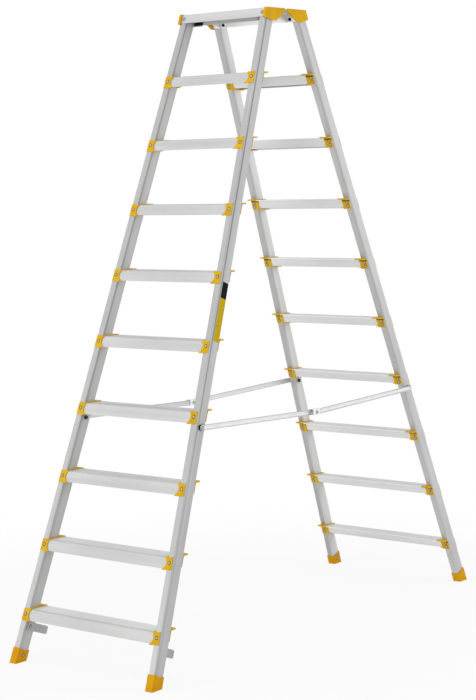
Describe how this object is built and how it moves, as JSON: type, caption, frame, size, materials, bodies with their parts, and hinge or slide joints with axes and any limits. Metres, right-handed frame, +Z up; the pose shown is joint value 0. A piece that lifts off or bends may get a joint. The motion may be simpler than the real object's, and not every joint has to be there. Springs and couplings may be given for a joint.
{
  "type": "double-sided step ladder",
  "caption": "Folding A-frame step ladder of aluminium with flat treads up both sides, a small top platform, plastic tread brackets, caps and feet, and folding side spreaders.",
  "frame": {"origin": "on the floor, midway between the four feet", "axes": "+Z up, X across the treads, the front frame on -Y and the rear frame on +Y"},
  "size_m": [0.6706, 1.98, 2.2992],
  "materials": {
    "aluminium_profile": "mill-finished extrusion, fine lengthwise lines",
    "yellow_plastic": "moulded, satin",
    "zinc_steel": "zinc-plated",
    "dark_steel": "black, satin",
    "black_plastic": "moulded, matt"
  },
  "bodies": {
    "front_frame": {"front_left_cap": "yellow_plastic", "front_left_foot": "yellow_plastic", "front_left_hinge_leaf": "dark_steel", "front_left_stile": "aluminium_profile", "front_left_tread_brackets": "yellow_plastic", "front_pivot_bolts": "zinc_steel", "front_platform": "aluminium_profile", "front_right_cap": "yellow_plastic", "front_right_foot": "yellow_plastic", "front_right_hinge_leaf": "dark_steel", "front_right_stile": "aluminium_profile", "front_right_tread_brackets": "yellow_plastic", "front_spreader_bushes": "black_plastic", "front_tread_1": "aluminium_profile", "front_tread_2": "aluminium_profile", "front_tread_3": "aluminium_profile", "front_tread_4": "aluminium_profile", "front_tread_5": "aluminium_profile", "front_tread_6": "aluminium_profile", "front_tread_7": "aluminium_profile", "front_tread_8": "aluminium_profile", "front_tread_9": "aluminium_profile", "hinge_pins": "zinc_steel", "latch_plates": "zinc_steel"},
    "rear_frame": {"rear_left_cap": "yellow_plastic", "rear_left_foot": "yellow_plastic", "rear_left_hinge_leaf": "zinc_steel", "rear_left_stile": "aluminium_profile", "rear_left_tread_brackets": "yellow_plastic", "rear_pivot_bolts": "zinc_steel", "rear_platform": "aluminium_profile", "rear_right_cap": "yellow_plastic", "rear_right_foot": "yellow_plastic", "rear_right_hinge_leaf": "zinc_steel", "rear_right_stile": "aluminium_profile", "rear_right_tread_brackets": "yellow_plastic", "rear_spreader_bushes": "black_plastic", "rear_tread_1": "aluminium_profile", "rear_tread_2": "aluminium_profile", "rear_tread_3": "aluminium_profile", "rear_tread_4": "aluminium_profile", "rear_tread_5": "aluminium_profile", "rear_tread_6": "aluminium_profile", "rear_tread_7": "aluminium_profile", "rear_tread_8": "aluminium_profile", "rear_tread_9": "aluminium_profile"},
    "left_front_link": {"left_front_link": "zinc_steel", "left_spreader_pin": "zinc_steel"},
    "left_rear_link": {"left_rear_bolt_head": "zinc_steel", "left_rear_link": "zinc_steel", "left_spreader_clip": "zinc_steel"},
    "right_front_link": {"right_front_link": "zinc_steel", "right_spreader_pin": "zinc_steel"},
    "right_rear_link": {"right_rear_bolt_head": "zinc_steel", "right_rear_link": "zinc_steel", "right_spreader_clip": "zinc_steel"}
  },
  "joints": [
    {"name": "fold", "type": "hinge", "parent": "front_frame", "child": "rear_frame", "pos_m": [0, 0, 2.2805], "axis": [-1, 0, 0], "range_deg": [0, 41.8]},
    {"name": "left_front_link_pivot", "type": "hinge", "parent": "front_frame", "child": "left_front_link", "pos_m": [-0.2944, -0.64367, 0.8345], "axis": [1, 0, 0], "range_deg": [0, 63.4]},
    {"name": "left_middle_pivot", "type": "hinge", "parent": "left_front_link", "child": "left_rear_link", "pos_m": [-0.2944, 0, 0.8135], "axis": [-1, 0, 0], "range_deg": [0, 168.7]},
    {"name": "right_front_link_pivot", "type": "hinge", "parent": "front_frame", "child": "right_front_link", "pos_m": [0.2944, -0.64367, 0.8345], "axis": [1, 0, 0], "range_deg": [0, 63.4]},
    {"name": "right_middle_pivot", "type": "hinge", "parent": "right_front_link", "child": "right_rear_link", "pos_m": [0.2944, 0, 0.8135], "axis": [-1, 0, 0], "range_deg": [0, 168.7]}
  ],
  "couplings": [
    {"joint": "left_front_link_pivot", "follows": "fold", "ratio": 1.5153},
    {"joint": "left_middle_pivot", "follows": "fold", "ratio": 4.0307},
    {"joint": "right_front_link_pivot", "follows": "fold", "ratio": 1.5153},
    {"joint": "right_middle_pivot", "follows": "fold", "ratio": 4.0307}
  ]
}
